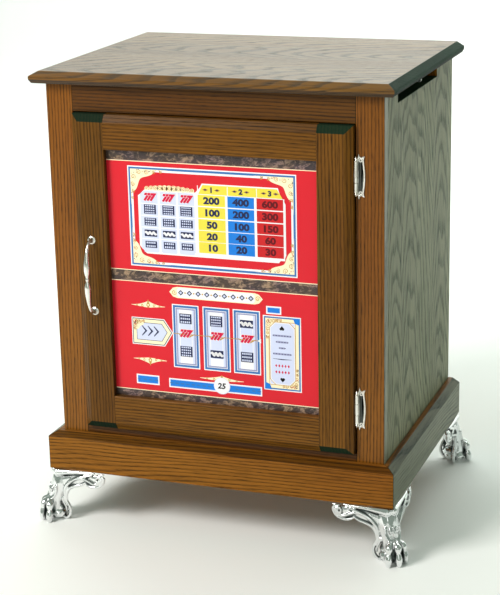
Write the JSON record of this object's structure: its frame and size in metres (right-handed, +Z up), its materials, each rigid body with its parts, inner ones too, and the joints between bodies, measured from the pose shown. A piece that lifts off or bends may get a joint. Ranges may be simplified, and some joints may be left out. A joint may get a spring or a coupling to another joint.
{
  "type": "slot machine stand cabinet",
  "caption": "Oak pedestal cabinet with an overhanging bevelled top, a bevelled plinth, cast claw feet and one side-hung door glazed with printed art glass.",
  "frame": {"origin": "on the floor, under the centre of the plinth and midway between the four feet", "axes": "+X to the right, the hinge side; +Y to the back; +Z up"},
  "size_m": [0.6198, 0.4822, 0.7312],
  "materials": {
    "oak_slab": "open-grained oak, satin varnish with a soft glare",
    "oak_frame": "open-grained oak, golden brown stain, satin varnish",
    "oak_side": "open-grained oak, golden brown stain, satin varnish",
    "oak_plinth": "open-grained oak, golden brown stain, satin varnish",
    "oak_door": "open-grained oak, golden brown stain, satin varnish",
    "inner_wood": "plain sawn oak, lightly sealed",
    "plywood": "oak-faced plywood",
    "art_glass": "clear glass, screen printed and backed in opaque red",
    "mottled_trim": "mottled dark brown laminate",
    "hardboard": "white-faced hardboard",
    "cast_chrome": "cast, polished and plated",
    "nickel": "polished nickel plate, slightly warm",
    "zinc_steel": "zinc-plated steel",
    "catch_plastic": "brown moulded plastic around a magnet"
  },
  "bodies": {
    "cabinet": {"top_slab": "oak_slab", "frame_left_stile": "oak_frame", "frame_right_stile": "oak_frame", "frame_top_rail": "oak_frame", "frame_bottom_rail": "oak_frame", "left_side_panel": "oak_side", "right_side_panel": "oak_side", "plinth_front_board": "oak_plinth", "plinth_left_board": "oak_plinth", "plinth_right_board": "oak_plinth", "cabinet_floor": "inner_wood", "shelf": "inner_wood", "top_front_cleat": "inner_wood", "top_back_cleat": "inner_wood", "plinth_back_rail": "inner_wood", "corner_block_front_left": "inner_wood", "corner_block_front_right": "inner_wood", "corner_block_back_left": "inner_wood", "corner_block_back_right": "inner_wood", "back_panel": "plywood", "foot_front_left": "cast_chrome", "foot_front_right": "cast_chrome", "foot_back_left": "cast_chrome", "foot_back_right": "cast_chrome", "hinge_frame_leaf_upper": "nickel", "hinge_frame_leaf_lower": "nickel", "hinge_pin_upper": "nickel", "hinge_pin_lower": "nickel", "frame_leaf_screws": "nickel", "top_screws": "zinc_steel", "back_screws": "zinc_steel", "foot_screws": "zinc_steel", "catch_screws": "zinc_steel", "shelf_pins": "zinc_steel", "slot_eye": "zinc_steel", "catch_magnet": "catch_plastic"},
    "door": {"door_left_stile": "oak_door", "door_right_stile": "oak_door", "door_top_rail": "oak_door", "door_bottom_rail": "oak_door", "award_glass": "art_glass", "play_glass": "art_glass", "trim_strip_top": "mottled_trim", "trim_strip_middle": "mottled_trim", "trim_strip_bottom": "mottled_trim", "glass_backing": "hardboard", "glass_stop_left": "inner_wood", "glass_stop_right": "inner_wood", "glass_stop_top": "inner_wood", "glass_stop_bottom": "inner_wood", "stop_brads": "zinc_steel", "hinge_door_leaf_upper": "nickel", "hinge_door_leaf_lower": "nickel", "door_leaf_screws": "nickel", "handle": "nickel", "handle_screws": "zinc_steel", "catch_plate": "zinc_steel", "catch_plate_screw": "zinc_steel"}
  },
  "joints": [
    {"name": "door_hinge", "type": "hinge", "parent": "cabinet", "child": "door", "pos_m": [0.2252, -0.2025, 0.41475], "axis": [0, 0, 1], "range_deg": [0, 115]}
  ]
}
